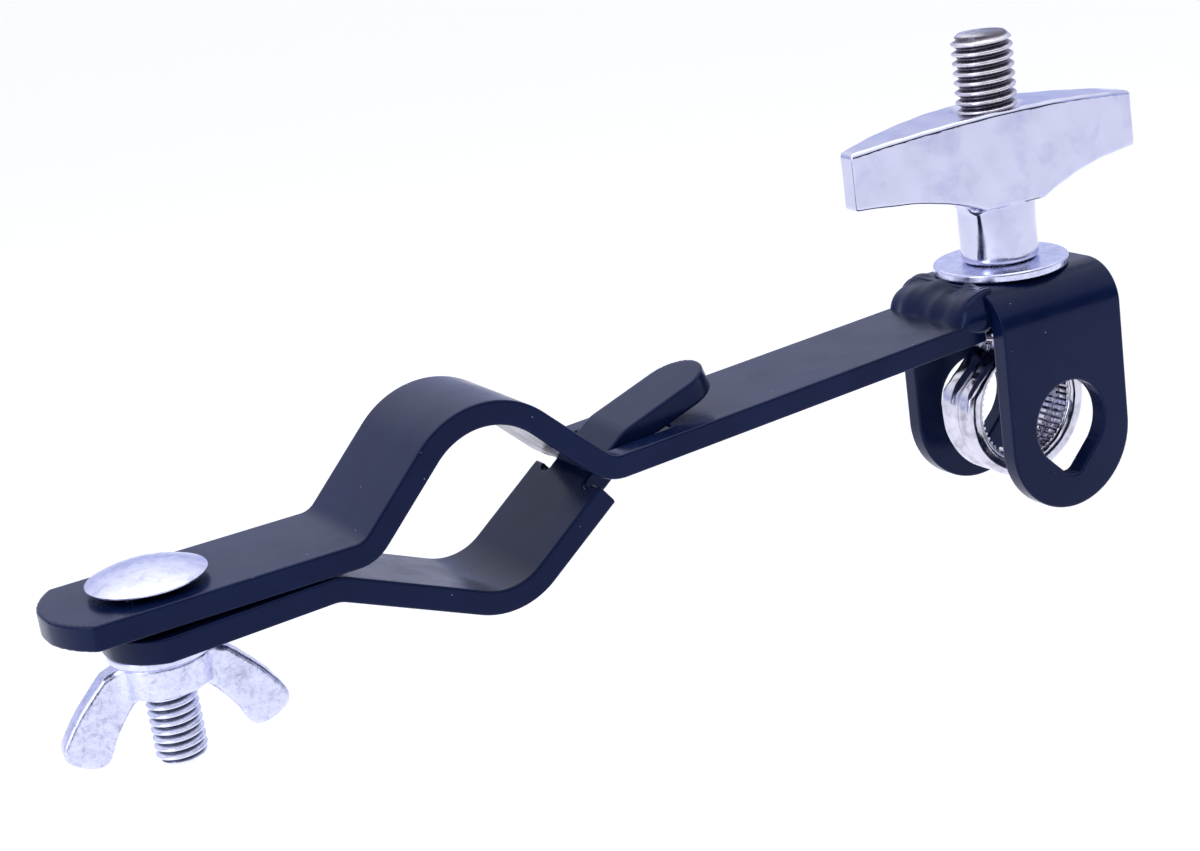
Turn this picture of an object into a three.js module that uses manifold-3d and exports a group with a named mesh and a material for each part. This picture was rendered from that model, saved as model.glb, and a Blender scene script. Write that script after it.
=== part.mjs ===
// Pipe clamp with arm and rod holder: a bent flat bar and a loose lower jaw grip a tube,
// and a clevis on the far end of the arm holds a rod in an eye bolt drawn up by a T-nut.
// Millimetres, +Z up. Origin: the middle of the gripped tube. X runs along the arm, Y across it.
import * as THREE from 'three';
import { mergeVertices } from 'three/addons/utils/BufferGeometryUtils.js';
import Module from 'manifold-3d';

const wasm = await Module();
wasm.setup();

// ---------------------------------------------------------------- driving dimensions
const BAR_WIDTH = 16;
const BAR_THICK = 2.9;
const HALF_BAR = BAR_THICK / 2;
const RUNNING = 0.05;             // radial clearance of a thread drawn as a plain shaft
const GAP = 0.3;                  // gap kept between pieces that are welded or rest together

const BOLT_X = -38.8;             // axis of the clamp bolt
const FLAT_TOP_Z = 1.0;           // top face of the bar at the bolt
const EYE_X = 81.2;               // axis of the eye bolt

// upper bar: flat, round arch over the tube, valley, long arm
const UPPER_END_X = -51.0;        // crown of the rounded end
const UPPER_END_SAG = 3.4;        // how far the end bulges past its corners
const ARCH_CENTRE_Z = 1.2;
const ARCH_R = 9.95;              // to the middle of the bar
const FLANK_FOOT_R = 4.0;
const VALLEY = new THREE.Vector2(15.6, 0.24);
const VALLEY_R = 4.5;
const ARM_END_X = 74.2;
const ARM_NOSE_WIDTH = 13;        // the end is trimmed to sit between the bracket's bends
const ARM_RISE = THREE.MathUtils.degToRad(3.0);
const ARCH_STEPS = 20;

// lower jaw: tilted flat, shallow bowl, shoulders, tongue through the slot
const JAW_END_X = -45.1;
const JAW_END_R = 9.0;
const JAW_TILT = THREE.MathUtils.degToRad(2.0);
const JAW_KNEE = new THREE.Vector2(-19.92, -3.45);
const JAW_KNEE_R = 5.0;
const BOWL = new THREE.Vector2(1.4, -12.4);
const BOWL_R = 8.5;
const TONGUE_BEND = new THREE.Vector2(20.5, 2.0);
const TONGUE_BEND_R = 4.0;
const TONGUE_TIP_X = 33.8;
const TONGUE_RISE = THREE.MathUtils.degToRad(18.5);
const TONGUE_WIDTH = 8.7;
const SHOULDER_X = 14.7;          // where the full width ends, on the middle of the bar
const NOTCH_R = 0.8;              // relief cut at the root of each shoulder
const SLOT_WIDTH = 10.0;
const SLOT_END_X = 26.1;
const SLOT_PLAY = 0.8;            // room in front of and behind the tongue

// clamp bolt, plain washer and wing nut
const BOLT_R = 2.95;
const BOLT_END_Z = -19.8;
const HEAD_R = 6.75;
const NECK_SIDE = 6.0;
const NECK_HOLE_SIDE = 6.4;
const JAW_HOLE_R = 3.5;
const JAW_HOLE_STRETCH = 0.6;     // half the extra length of the lower jaw's oblong hole
const PLAIN_WASHER_R = 6.0;
const PLAIN_WASHER_BORE_R = 3.2;
const PLAIN_WASHER_TOP_Z = -5.85;
const PLAIN_WASHER_THICK = 1.0;
const WING_HUB_R = 5.3;
const WING_HUB_HEIGHT = 4.0;
const WING_THICK = 3.2;
const WING_TURN = THREE.MathUtils.degToRad(-8);

// clevis bracket
const BRACKET_TOP_Z = 8.15;
const BRACKET_WIDTH = 22.2;       // across the outside of the cheeks
const BRACKET_THICK = 2.5;
const BRACKET_BEND_R = 5.5;       // outside of the bend
const BRACKET_X = 81.65;          // middle of the cheeks
const CHEEK_R = 9.65;
const CHEEK_CENTRE_Z = -13.1;
const STUD_HOLE_R = 4.4;
const ROD_HOLE_R = 5.6;
const ROD_HOLE_Z = -11.3;
const ROD_HOLE_POINT = 7.1;       // from the middle of the hole down to the foot of its V

// eye bolt, flat washer and T-nut
const STUD_R = 3.95;
const STUD_TOP_Z = 39.1;
const EYE_Z = -10.2;
const EYE_OUTER_R = 9.8;
const EYE_HOLE_R = 7.3;
const EYE_HALF_WIDTH = 3.2;
const EYE_CHAMFER = 0.7;
const FLAT_WASHER_R = 8.8;
const FLAT_WASHER_BORE_R = 4.3;
const FLAT_WASHER_THICK = 1.2;
const FLAT_WASHER_Z = BRACKET_TOP_Z + RUNNING;
const TNUT_BASE_Z = FLAT_WASHER_Z + FLAT_WASHER_THICK + RUNNING;
const TNUT_STEM_R = 5.05;
const TNUT_HALF_SPAN = 21.5;
const TNUT_END_THICK = 2.8;
const TNUT_MID_THICK = 10.2;
const TNUT_CROWN_Z = 29.6;
const TNUT_END_TOP_Z = 27.6;
const TNUT_END_BOTTOM_Z = 20.3;
const TNUT_STEM_TOP_Z = 17.8;     // where the bar's underside runs into the stem
const TNUT_TURN = THREE.MathUtils.degToRad(-5);
const ROUND_STEPS = 40;

// ---------------------------------------------------------------- materials
const blackPaint = () => new THREE.MeshStandardMaterial({ color: 0x23273a, roughness: 0.38, metalness: 0.1 });
const zincPlate = () => new THREE.MeshStandardMaterial({ color: 0xc9cbd6, roughness: 0.34, metalness: 0.9 });
const chromePlate = () => new THREE.MeshStandardMaterial({ color: 0xd9dbe6, roughness: 0.14, metalness: 1.0 });

// ---------------------------------------------------------------- solids
function solidOf(geometry) {
  const bare = geometry.index ? geometry.toNonIndexed() : geometry.clone();
  bare.deleteAttribute('normal');
  bare.deleteAttribute('uv');
  const merged = mergeVertices(bare, 1e-4);
  return new wasm.Manifold(new wasm.Mesh({
    numProp: 3,
    vertProperties: new Float32Array(merged.attributes.position.array),
    triVerts: new Uint32Array(merged.index.array),
  }));
}

function geometryOf(solid) {
  const mesh = solid.getMesh();
  const geometry = new THREE.BufferGeometry();
  geometry.setAttribute('position', new THREE.BufferAttribute(mesh.vertProperties, 3));
  geometry.setIndex(new THREE.BufferAttribute(mesh.triVerts, 1));
  geometry.computeVertexNormals();
  return geometry;
}

function box(x, y, z, width, depth, height) {
  return solidOf(new THREE.BoxGeometry(width, depth, height).translate(x, y, z));
}

// A shape drawn in X and Z, given its thickness along Y and centred on Y = 0.
function sideExtrude(shape, thickness, steps = ROUND_STEPS) {
  const geometry = new THREE.ExtrudeGeometry(shape, { depth: thickness, bevelEnabled: false, curveSegments: steps });
  return solidOf(geometry.rotateX(Math.PI / 2).translate(0, thickness / 2, 0));
}

// A shape drawn in X and Y, raised from lowZ to highZ.
function planExtrude(shape, lowZ, highZ, steps = ROUND_STEPS) {
  const options = { depth: highZ - lowZ, bevelEnabled: false, curveSegments: steps };
  return solidOf(new THREE.ExtrudeGeometry(shape, options).translate(0, 0, lowZ));
}

// A solid of revolution about Z from [radius, height] pairs that start and end on the axis.
function turned(profile, steps = ROUND_STEPS) {
  const points = profile.map(([radius, height]) => new THREE.Vector2(radius, height));
  return solidOf(new THREE.LatheGeometry(points, steps).rotateX(Math.PI / 2));
}

function cylinder(radius, lowZ, highZ, steps = ROUND_STEPS) {
  return turned([[0, lowZ], [radius, lowZ], [radius, highZ], [0, highZ]], steps);
}

// ---------------------------------------------------------------- bent bars
// The middle line of a bent bar: straight runs between the corners, each corner rounded.
function bentLine(corners, radii, steps) {
  const line = [corners[0].clone()];
  for (let i = 1; i < corners.length - 1; i += 1) {
    const into = corners[i].clone().sub(corners[i - 1]).normalize();
    const out = corners[i + 1].clone().sub(corners[i]).normalize();
    const turn = Math.atan2(into.cross(out), into.dot(out));
    const setback = radii[i - 1] * Math.tan(Math.abs(turn) / 2);
    const start = corners[i].clone().addScaledVector(into, -setback);
    const side = new THREE.Vector2(-into.y, into.x).multiplyScalar(Math.sign(turn) * radii[i - 1]);
    const centre = start.clone().add(side);
    for (let step = 0; step <= steps; step += 1) {
      line.push(start.clone().rotateAround(centre, (turn * step) / steps));
    }
  }
  line.push(corners[corners.length - 1].clone());
  return line;
}

// The side view of a bar of even thickness about its middle line.
function barShape(line) {
  const upper = [];
  const lower = [];
  line.forEach((point, i) => {
    const before = line[Math.max(i - 1, 0)];
    const after = line[Math.min(i + 1, line.length - 1)];
    const along = after.clone().sub(before).normalize();
    const across = new THREE.Vector2(-along.y, along.x).multiplyScalar(HALF_BAR);
    upper.push(point.clone().add(across));
    lower.unshift(point.clone().sub(across));
  });
  return new THREE.Shape([...upper, ...lower]);
}

const along = (angle) => new THREE.Vector2(Math.cos(angle), Math.sin(angle));

// A cutter that follows a sloping run of the bar: centred on a point of the middle line.
function slopedBox(centre, angle, length, y, width, thickness) {
  const geometry = new THREE.BoxGeometry(length, width, thickness).rotateY(-angle);
  return solidOf(geometry.translate(centre.x, y, centre.y));
}

function boltHole(side) {
  return box(BOLT_X, 0, 0, side, side, 4 * BAR_THICK + 4);
}

// ---------------------------------------------------------------- upper bar
const flatMiddleZ = FLAT_TOP_Z - HALF_BAR;
const archTop = new THREE.Vector2(0, ARCH_CENTRE_Z + ARCH_R * Math.SQRT2);
const flankFoot = new THREE.Vector2(flatMiddleZ - archTop.y, flatMiddleZ);
const armEnd = VALLEY.clone().addScaledVector(along(ARM_RISE), (ARM_END_X - VALLEY.x) / Math.cos(ARM_RISE));
const legAngle = Math.atan2(TONGUE_BEND.y - BOWL.y, TONGUE_BEND.x - BOWL.x);
const shoulder = BOWL.clone().addScaledVector(along(legAngle), (SHOULDER_X - BOWL.x) / Math.cos(legAngle));

function upperBar() {
  const start = new THREE.Vector2(UPPER_END_X, flatMiddleZ);
  const radii = [FLANK_FOOT_R, ARCH_R, VALLEY_R];
  const line = bentLine([start, flankFoot, archTop, VALLEY, armEnd], radii, ARCH_STEPS);
  const bar = sideExtrude(barShape(line), BAR_WIDTH);

  // rounded end: a shallow arc between two square corners
  const half = BAR_WIDTH / 2;
  const endR = (half * half + UPPER_END_SAG * UPPER_END_SAG) / (2 * UPPER_END_SAG);
  const spread = Math.asin(half / endR);
  const plan = new THREE.Shape();
  const noseX = BRACKET_X - CHEEK_R - GAP;
  const noseHalf = ARM_NOSE_WIDTH / 2;
  plan.moveTo(noseX, -half - 1);
  plan.lineTo(noseX, -noseHalf);
  plan.lineTo(ARM_END_X + BAR_THICK, -noseHalf);
  plan.lineTo(ARM_END_X + BAR_THICK, noseHalf);
  plan.lineTo(noseX, noseHalf);
  plan.lineTo(noseX, half + 1);
  plan.lineTo(UPPER_END_X + UPPER_END_SAG, half + 1);
  plan.absarc(UPPER_END_X + endR, 0, endR, Math.PI - spread, Math.PI + spread, false);
  plan.lineTo(UPPER_END_X + UPPER_END_SAG, -half - 1);
  const trimmed = bar.intersect(planExtrude(plan, -30, 30, 12));

  // slot for the tongue: it slopes with the tongue on the clamp side and runs on into the arm
  const slotStart = shoulder.clone().addScaledVector(along(legAngle), 3);
  const slope = slopedBox(slotStart, legAngle, 9, 0, SLOT_WIDTH, BAR_THICK + 2 * SLOT_PLAY);
  const run = box((slotStart.x + SLOT_END_X) / 2, 0, 0, SLOT_END_X - slotStart.x, SLOT_WIDTH, 12);
  return geometryOf(trimmed.subtract(slope).subtract(run).subtract(boltHole(NECK_HOLE_SIDE)));
}

// ---------------------------------------------------------------- lower jaw
function lowerJaw() {
  const flatLength = (JAW_KNEE.x - JAW_END_X) / Math.cos(JAW_TILT);
  const start = JAW_KNEE.clone().addScaledVector(along(JAW_TILT), -flatLength);
  const reach = (TONGUE_TIP_X - TONGUE_BEND.x) / Math.cos(TONGUE_RISE);
  const tip = TONGUE_BEND.clone().addScaledVector(along(TONGUE_RISE), reach);
  const corners = [start, JAW_KNEE, BOWL, TONGUE_BEND, tip];
  const line = bentLine(corners, [JAW_KNEE_R, BOWL_R, TONGUE_BEND_R], ARCH_STEPS / 2);
  let jaw = sideExtrude(barShape(line), BAR_WIDTH);

  const half = BAR_WIDTH / 2;
  const spread = Math.asin(half / JAW_END_R);
  const plan = new THREE.Shape();
  plan.moveTo(TONGUE_TIP_X + BAR_WIDTH, -half - 1);
  plan.lineTo(TONGUE_TIP_X + BAR_WIDTH, half + 1);
  plan.lineTo(JAW_END_X + JAW_END_R * (1 - Math.cos(spread)), half + 1);
  plan.absarc(JAW_END_X + JAW_END_R, 0, JAW_END_R, Math.PI - spread, Math.PI + spread, false);
  plan.lineTo(JAW_END_X + JAW_END_R * (1 - Math.cos(spread)), -half - 1);
  jaw = jaw.intersect(planExtrude(plan, -30, 30, 16));

  const sideWidth = BAR_WIDTH;
  const nearLength = 7;
  for (const side of [-1, 1]) {
    const y = side * (TONGUE_WIDTH + sideWidth) / 2;
    const middle = shoulder.clone().addScaledVector(along(legAngle), nearLength / 2);
    jaw = jaw.subtract(slopedBox(middle, legAngle, nearLength, y, sideWidth, 3 * BAR_THICK));
    jaw = jaw.subtract(box(SHOULDER_X + 4 + 15, y, 4, 30, sideWidth, 20));
    const notch = new THREE.CylinderGeometry(NOTCH_R, NOTCH_R, 3 * BAR_THICK, 16);
    notch.rotateX(Math.PI / 2).rotateY(-legAngle);
    jaw = jaw.subtract(solidOf(notch.translate(shoulder.x, side * (TONGUE_WIDTH / 2 + NOTCH_R), shoulder.y)));
  }

  // rounded tip, square to the sloping tongue
  const tipR = TONGUE_WIDTH / 2;
  const bite = new THREE.Shape();
  bite.moveTo(-tipR, -tipR - 1);
  bite.lineTo(-tipR, -tipR);
  bite.absarc(-tipR, 0, tipR, -Math.PI / 2, Math.PI / 2, false);
  bite.lineTo(-tipR, tipR + 1);
  bite.lineTo(2, tipR + 1);
  bite.lineTo(2, -tipR - 1);
  const biteGeometry = new THREE.ExtrudeGeometry(bite, { depth: 3 * BAR_THICK, bevelEnabled: false, curveSegments: 16 });
  biteGeometry.translate(0, 0, -1.5 * BAR_THICK).rotateY(-TONGUE_RISE).translate(tip.x, 0, tip.y);
  jaw = jaw.subtract(solidOf(biteGeometry));

  const hole = new THREE.Shape();
  hole.absarc(BOLT_X + JAW_HOLE_STRETCH, 0, JAW_HOLE_R, -Math.PI / 2, Math.PI / 2, false);
  hole.absarc(BOLT_X - JAW_HOLE_STRETCH, 0, JAW_HOLE_R, Math.PI / 2, Math.PI * 1.5, false);
  return geometryOf(jaw.subtract(planExtrude(hole, -12, 6, 12)));
}

// ---------------------------------------------------------------- clamp bolt and its nut
function carriageBolt() {
  const rimZ = 1.05;
  const crownZ = 2.6;
  const head = [[0, 0.25], [3.9, 0.25], [6.3, 0.7], [HEAD_R, rimZ - 0.15], [HEAD_R, rimZ]];
  for (let step = 1; step <= 5; step += 1) {
    const share = Math.cos((step / 6) * Math.PI / 2);
    head.push([HEAD_R * share, rimZ + (crownZ - rimZ) * (1 - share * share)]);
  }
  head.push([0, crownZ]);
  const neck = box(0, 0, -1.1, NECK_SIDE, NECK_SIDE, 2.8);
  const endZ = BOLT_END_Z - FLAT_TOP_Z;
  const shank = turned([[0, endZ], [2.2, endZ], [BOLT_R, endZ + 1], [BOLT_R, -1], [0, -1]]);
  return geometryOf(turned(head).add(neck).add(shank));
}

function ring(outerR, boreR, thickness) {
  return geometryOf(cylinder(outerR, 0, thickness).subtract(cylinder(boreR, -1, thickness + 1)));
}

// Heights are below the hub's top face.
function wingNut() {
  const hub = turned([[0, -WING_HUB_HEIGHT], [4.6, -WING_HUB_HEIGHT], [WING_HUB_R, -WING_HUB_HEIGHT + 0.7],
    [WING_HUB_R, -0.8], [4.8, 0], [0, 0]]);
  let nut = hub;
  for (const side of [-1, 1]) {
    const wing = new THREE.Shape();
    wing.moveTo(side * 3.4, -0.4);
    wing.lineTo(side * 7.0, -0.9);
    wing.quadraticCurveTo(side * 11.2, -4.8, side * 12.7, -7.8);
    wing.quadraticCurveTo(side * 13.2, -9.2, side * 11.8, -10.1);
    wing.quadraticCurveTo(side * 10.0, -11.3, side * 8.6, -11.0);
    wing.quadraticCurveTo(side * 7.9, -10.9, side * 7.4, -9.6);
    wing.quadraticCurveTo(side * 6.2, -6.6, side * 3.4, -3.6);
    nut = nut.add(sideExtrude(wing, WING_THICK, 6));
  }
  return geometryOf(nut.subtract(cylinder(BOLT_R + RUNNING, -20, 20)));
}

// ---------------------------------------------------------------- clevis bracket
// Drawn about the middle of the cheeks.
function bracket() {
  const half = BRACKET_WIDTH / 2;
  const inner = half - BRACKET_THICK;
  const foot = CHEEK_CENTRE_Z - CHEEK_R;
  const outerR = BRACKET_BEND_R;
  const innerR = BRACKET_BEND_R - BRACKET_THICK;
  const top = BRACKET_TOP_Z;
  const under = top - BRACKET_THICK;
  const section = new THREE.Shape();
  section.moveTo(-half, foot);
  section.lineTo(-half, top - outerR);
  section.absarc(-half + outerR, top - outerR, outerR, Math.PI, Math.PI / 2, true);
  section.absarc(half - outerR, top - outerR, outerR, Math.PI / 2, 0, true);
  section.lineTo(half, foot);
  section.lineTo(inner, foot);
  section.absarc(inner - innerR, under - innerR, innerR, 0, Math.PI / 2, false);
  section.absarc(-inner + innerR, under - innerR, innerR, Math.PI / 2, Math.PI, false);
  section.lineTo(-inner, foot);
  const channel = new THREE.ExtrudeGeometry(section, { depth: 2 * CHEEK_R, bevelEnabled: false, curveSegments: 10 });
  channel.rotateX(Math.PI / 2).rotateZ(Math.PI / 2).translate(-CHEEK_R, 0, 0);

  const cheek = new THREE.Shape();
  cheek.moveTo(-CHEEK_R, top + 1);
  cheek.lineTo(-CHEEK_R, CHEEK_CENTRE_Z);
  cheek.absarc(0, CHEEK_CENTRE_Z, CHEEK_R, Math.PI, Math.PI * 2, false);
  cheek.lineTo(CHEEK_R, top + 1);

  return geometryOf(solidOf(channel)
    .intersect(sideExtrude(cheek, BRACKET_WIDTH + 4, 18))
    .subtract(sideExtrude(rodHole(), BRACKET_WIDTH + 4, 18))
    .subtract(cylinder(STUD_HOLE_R, under - 1, top + 1).translate([EYE_X - BRACKET_X, 0, 0])));
}

// Round above, a right-angled V with a blunt foot below.
function rodHole() {
  const hole = new THREE.Shape();
  const tangent = ROD_HOLE_R * Math.SQRT1_2;
  const footDepth = ROD_HOLE_POINT;
  const footHalf = ROD_HOLE_R * Math.SQRT2 - footDepth;
  hole.absarc(0, ROD_HOLE_Z, ROD_HOLE_R, -Math.PI / 4, Math.PI * 1.25, false);
  hole.lineTo(-tangent, ROD_HOLE_Z - tangent);
  hole.lineTo(-footHalf, ROD_HOLE_Z - footDepth);
  hole.lineTo(footHalf, ROD_HOLE_Z - footDepth);
  return hole;
}

// A fillet of weld on top of the arm, against the edge of the bracket's top plate.
function weldBead() {
  const edgeX = BRACKET_X - CHEEK_R - GAP;
  const armTopAt = (x) => VALLEY.y + HALF_BAR / Math.cos(ARM_RISE) + Math.tan(ARM_RISE) * (x - VALLEY.x) + GAP;
  const toeX = edgeX - 4.2;
  const crestZ = BRACKET_TOP_Z - 0.2;
  const fillet = new THREE.Shape();
  fillet.moveTo(toeX, armTopAt(toeX));
  fillet.lineTo(edgeX, armTopAt(edgeX));
  fillet.lineTo(edgeX, crestZ);
  fillet.quadraticCurveTo(edgeX - 2.4, crestZ - 0.9, toeX, armTopAt(toeX) + 0.5);
  return geometryOf(sideExtrude(fillet, 2 * (BRACKET_WIDTH / 2 - BRACKET_BEND_R + 2), 6));
}

// ---------------------------------------------------------------- eye bolt and its nut
function eyeBolt() {
  const outline = new THREE.Shape();
  const outer = EYE_OUTER_R - EYE_CHAMFER;
  const neckHalf = 4.2 - EYE_CHAMFER;
  const neckZ = EYE_Z + outer * Math.SQRT2 - neckHalf;
  outline.moveTo(neckHalf, neckZ);
  outline.lineTo(-neckHalf, neckZ);
  outline.absarc(0, EYE_Z, outer, Math.PI * 0.75, Math.PI * 2.25, false);
  const hole = new THREE.Path();
  hole.absarc(0, EYE_Z, EYE_HOLE_R + EYE_CHAMFER, 0, Math.PI * 2, true);
  outline.holes.push(hole);
  const flat = 2 * (EYE_HALF_WIDTH - EYE_CHAMFER);
  const geometry = new THREE.ExtrudeGeometry(outline, {
    depth: flat, bevelEnabled: true, bevelSize: EYE_CHAMFER, bevelThickness: EYE_CHAMFER,
    bevelSegments: 1, curveSegments: 36,
  });
  const eye = solidOf(geometry.rotateX(Math.PI / 2).translate(0, flat / 2, 0));
  const stud = turned([[0, neckZ - 2], [STUD_R, neckZ - 2], [STUD_R, STUD_TOP_Z - 0.8],
    [STUD_R - 0.8, STUD_TOP_Z], [0, STUD_TOP_Z]]);
  return geometryOf(eye.add(stud));
}

function tNut() {
  const side = new THREE.Shape();
  const span = TNUT_HALF_SPAN;
  side.moveTo(-span, TNUT_END_BOTTOM_Z);
  side.quadraticCurveTo(-9.5, TNUT_END_BOTTOM_Z - 0.6, -TNUT_STEM_R + 0.4, TNUT_STEM_TOP_Z);
  side.lineTo(TNUT_STEM_R - 0.4, TNUT_STEM_TOP_Z);
  side.quadraticCurveTo(9.5, TNUT_END_BOTTOM_Z - 0.6, span, TNUT_END_BOTTOM_Z);
  side.lineTo(span, TNUT_END_TOP_Z);
  side.quadraticCurveTo(0, 2 * TNUT_CROWN_Z - TNUT_END_TOP_Z, -span, TNUT_END_TOP_Z);

  const plan = new THREE.Shape();
  const endHalf = TNUT_END_THICK / 2;
  const control = TNUT_MID_THICK - endHalf;
  plan.moveTo(-span, -endHalf);
  plan.quadraticCurveTo(0, -control, span, -endHalf);
  plan.lineTo(span, endHalf);
  plan.quadraticCurveTo(0, control, -span, endHalf);

  const bar = sideExtrude(side, TNUT_MID_THICK + 2, 14);
  const wings = bar.intersect(planExtrude(plan, TNUT_STEM_TOP_Z - 2, TNUT_CROWN_Z + 2, 14));
  const stem = turned([[0, TNUT_BASE_Z], [TNUT_STEM_R - 0.5, TNUT_BASE_Z], [TNUT_STEM_R, TNUT_BASE_Z + 0.6],
    [TNUT_STEM_R, TNUT_STEM_TOP_Z + 2], [0, TNUT_STEM_TOP_Z + 2]]);
  return geometryOf(wings.add(stem).subtract(cylinder(STUD_R + RUNNING, TNUT_BASE_Z - 1, TNUT_CROWN_Z + 2)));
}

// ---------------------------------------------------------------- assembly
function place(parent, name, geometry, material, x = 0, z = 0, turn = 0) {
  const mesh = new THREE.Mesh(geometry, material);
  mesh.name = name;
  mesh.position.set(x, 0, z);
  mesh.rotation.z = turn;
  parent.add(mesh);
}

const clamp = new THREE.Group();
const washerBottomZ = PLAIN_WASHER_TOP_Z - PLAIN_WASHER_THICK;
place(clamp, 'upper_jaw_arm', upperBar(), blackPaint());
place(clamp, 'lower_jaw', lowerJaw(), blackPaint());
place(clamp, 'carriage_bolt', carriageBolt(), zincPlate(), BOLT_X, FLAT_TOP_Z);
place(clamp, 'plain_washer', ring(PLAIN_WASHER_R, PLAIN_WASHER_BORE_R, PLAIN_WASHER_THICK), zincPlate(),
  BOLT_X, washerBottomZ);
place(clamp, 'wing_nut', wingNut(), zincPlate(), BOLT_X, washerBottomZ - RUNNING, WING_TURN);
place(clamp, 'weld_bead', weldBead(), blackPaint());
place(clamp, 'rod_bracket', bracket(), blackPaint(), BRACKET_X);
place(clamp, 'eye_bolt', eyeBolt(), chromePlate(), EYE_X);
place(clamp, 'flat_washer', ring(FLAT_WASHER_R, FLAT_WASHER_BORE_R, FLAT_WASHER_THICK), zincPlate(),
  EYE_X, FLAT_WASHER_Z);
place(clamp, 't_nut', tNut(), chromePlate(), EYE_X, 0, TNUT_TURN);

export default clamp;
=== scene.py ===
"""Pipe clamp with arm and rod holder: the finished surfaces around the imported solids.

Lengths inside the builders are millimetres; finish_piece turns them to metres.
"""
import math

import bpy
import numpy as np
from bpy.props import FloatProperty, IntProperty, PointerProperty, StringProperty
from mathutils import Matrix, Vector


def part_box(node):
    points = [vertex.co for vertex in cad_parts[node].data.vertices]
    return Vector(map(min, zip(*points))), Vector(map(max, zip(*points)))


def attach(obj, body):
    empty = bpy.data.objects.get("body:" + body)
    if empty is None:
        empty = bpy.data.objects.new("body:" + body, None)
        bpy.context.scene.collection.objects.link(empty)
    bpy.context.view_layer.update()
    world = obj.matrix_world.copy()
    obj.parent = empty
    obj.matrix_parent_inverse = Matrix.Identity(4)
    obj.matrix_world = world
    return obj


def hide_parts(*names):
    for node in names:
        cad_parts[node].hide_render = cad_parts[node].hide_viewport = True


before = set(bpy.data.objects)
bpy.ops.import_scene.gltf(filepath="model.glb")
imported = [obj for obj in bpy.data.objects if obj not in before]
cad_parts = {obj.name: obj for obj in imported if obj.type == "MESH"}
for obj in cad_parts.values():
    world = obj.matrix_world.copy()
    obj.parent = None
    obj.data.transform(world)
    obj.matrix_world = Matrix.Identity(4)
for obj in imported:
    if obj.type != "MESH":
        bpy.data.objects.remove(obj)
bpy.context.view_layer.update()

bl_info = {
    "name": "Pipe Clamp with Rod Holder",
    "version": (1, 0, 0),
    "blender": (4, 5, 0),
    "location": "View3D > Sidebar > Pipe Clamp",
    "description": "Builds the bars, bracket, screws and nuts of a pipe clamp over its solids",
    "category": "Object",
}

MM = 0.001
FLAT_TOP = 1.0            # height of the bar's flat under the bolt's head, mm
THREAD_AROUND = 72        # points round one turn of a thread
ROWS_PER_TURN = 12        # rows of points in one pitch of a thread
SKIN_PASSES = 4           # times a skin's points are pulled onto the surface
CAMERA_PLACE = (-0.103296, -0.233484, 0.084041)
CAMERA_TURN = (72.8035, 7.8403, -30.0703)
FLOOR_Z = -0.16


# ------------------------------------------------------------------ sizes and colours
def length(name, description, default_mm, low=0.01, high=400.0):
    """A distance property whose default is given in millimetres."""
    return FloatProperty(name=name, description=description, default=default_mm * MM,
                         min=low * MM, max=high * MM, subtype="DISTANCE", unit="LENGTH", precision=5)


def colour(name, description, sheet):
    """A hex colour, kept as text so that it stays readable in the panel."""
    return StringProperty(name=name, description=description, default=sheet)


class BarSizes(bpy.types.PropertyGroup):
    """The bent flat bars."""
    width: length("Width", "Width of the flat bar", 16.0)
    thick: length("Thickness", "Thickness of the flat bar", 2.9)
    edge: length("Edge radius", "Rounding left on the bar's edges by rolling and paint", 0.26)
    arch: length("Arch radius", "Radius of the arch, to the middle of the bar", 9.95)
    bowl: length("Bowl radius", "Radius of the bowl under the tube, to the middle of the bar", 8.5)
    tongue: length("Tongue width", "Width of the tongue that passes through the slot", 8.7)
    slot: length("Slot width", "Width of the slot for the tongue", 10.0)


class BracketSizes(bpy.types.PropertyGroup):
    """The clevis bracket and its weld."""
    width: length("Width", "Across the outside of the cheeks", 22.2)
    thick: length("Thickness", "Thickness of the strip", 2.5)
    bend: length("Bend radius", "Outside radius of the two bends", 5.5)
    edge: length("Edge radius", "Rounding on the edges of the strip", 0.28)
    rod_hole: length("Rod hole radius", "Radius of the round part of the rod hole", 5.6)
    bead: length("Weld bead size", "Radius of one lump of the weld", 1.9)


class ScrewSizes(bpy.types.PropertyGroup):
    """The clamp bolt and the eye bolt."""
    bolt_radius: length("Bolt radius", "Crest radius of the clamp bolt's thread", 2.95)
    bolt_pitch: length("Bolt pitch", "Pitch of the clamp bolt's thread", 1.0)
    stud_radius: length("Stud radius", "Crest radius of the eye bolt's thread", 3.95)
    stud_pitch: length("Stud pitch", "Pitch of the eye bolt's thread", 1.25)
    head_radius: length("Head radius", "Radius of the clamp bolt's round head", 6.75)
    eye_radius: length("Eye radius", "Outside radius of the eye", 9.8)
    eye_hole: length("Eye hole radius", "Radius of the hole in the eye", 7.3)
    teeth: IntProperty(name="Teeth", description="Ribs round the inside of the eye", default=56, min=8, max=120)


class FinishColours(bpy.types.PropertyGroup):
    """Colours of the finishes, as sRGB hex."""
    enamel: colour("Enamel", "Black enamel of the bars and the bracket", "#071230")
    enamel_bloom: colour("Enamel bloom", "Paler cloudy film on the enamel", "#0c1838")
    zinc: colour("Zinc", "Bright zinc plate", "#dcdff4")
    zinc_dark: colour("Zinc, dark", "Darker spangle of the zinc plate", "#b0b4d2")
    chrome: colour("Chrome", "Chrome plate", "#cfd1e3")
    chrome_dark: colour("Chrome, dark", "Cloudy patches in the chrome", "#a6a9cf")
    thread: colour("Thread", "Rolled thread", "#e9ecfa")
    floor: colour("Floor", "Floor and backdrop", "#f7f7fa")


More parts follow.
